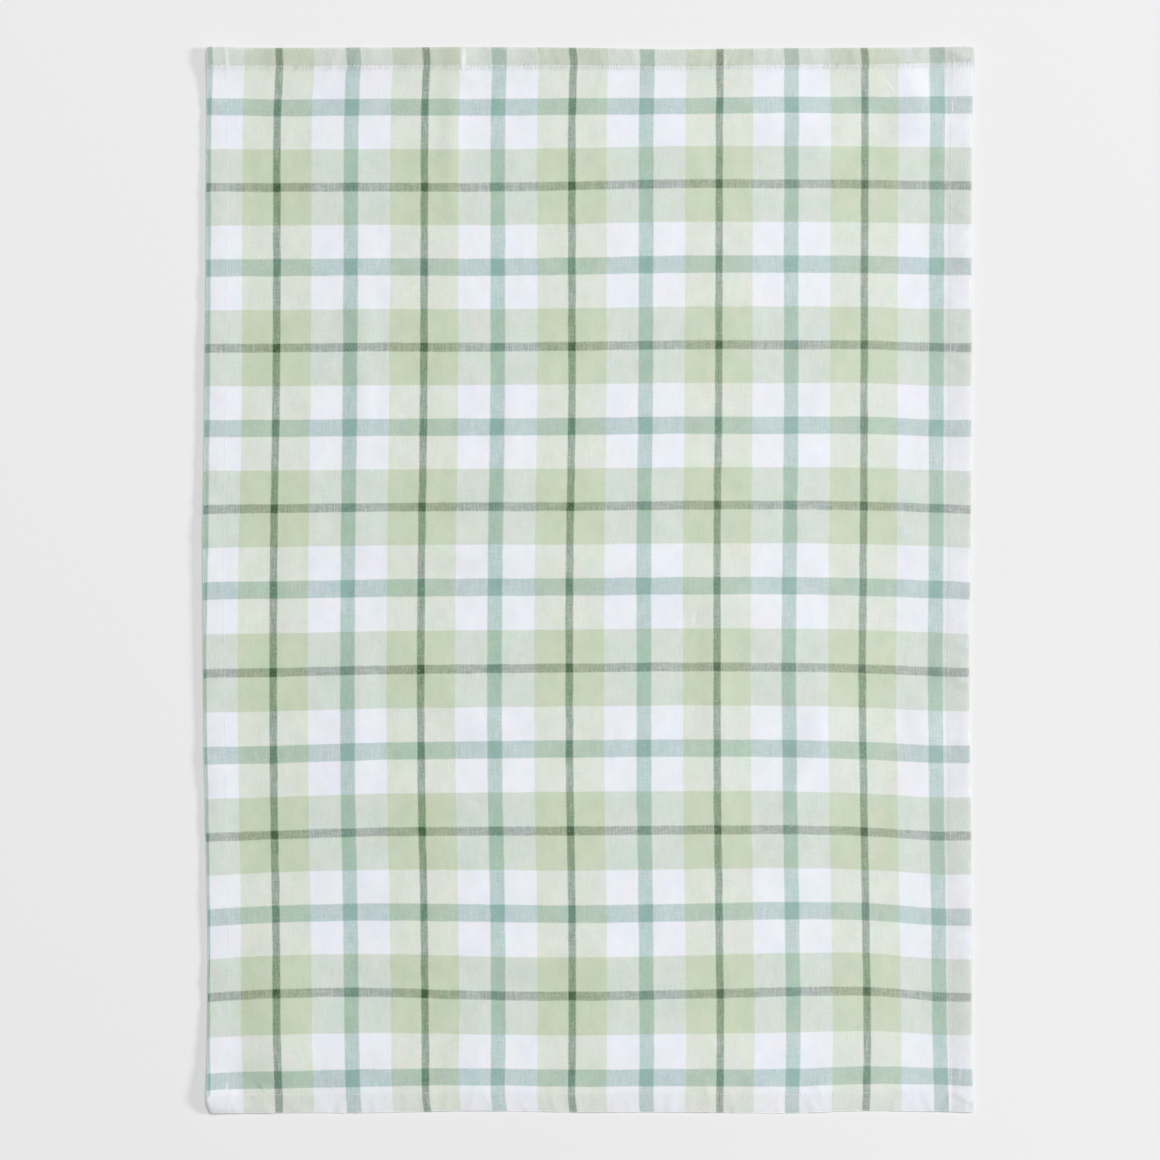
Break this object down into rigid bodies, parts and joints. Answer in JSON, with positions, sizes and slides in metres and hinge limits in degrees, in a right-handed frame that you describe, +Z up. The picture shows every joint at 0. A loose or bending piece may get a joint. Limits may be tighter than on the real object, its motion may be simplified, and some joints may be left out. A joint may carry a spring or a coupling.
{
  "type": "tea towel",
  "caption": "Rectangular woven cotton tea towel for drying dishes, lying flat, in a white, light green, teal and dark green check, with a turned and stitched hem on every side.",
  "frame": {"origin": "on the surface that the towel lies on, under the middle of its outline", "axes": "+Z up out of the towel's face, +Y along its length towards its top end, +X along its width"},
  "size_m": [0.5068, 0.7012, 0.0081],
  "materials": {
    "cotton": "matt plain-woven cotton, yarn-dyed check in white, light green, teal and dark green",
    "thread": "white cotton sewing thread"
  },
  "bodies": {
    "root": {"tea_towel": "cotton"}
  },
  "joints": []
}
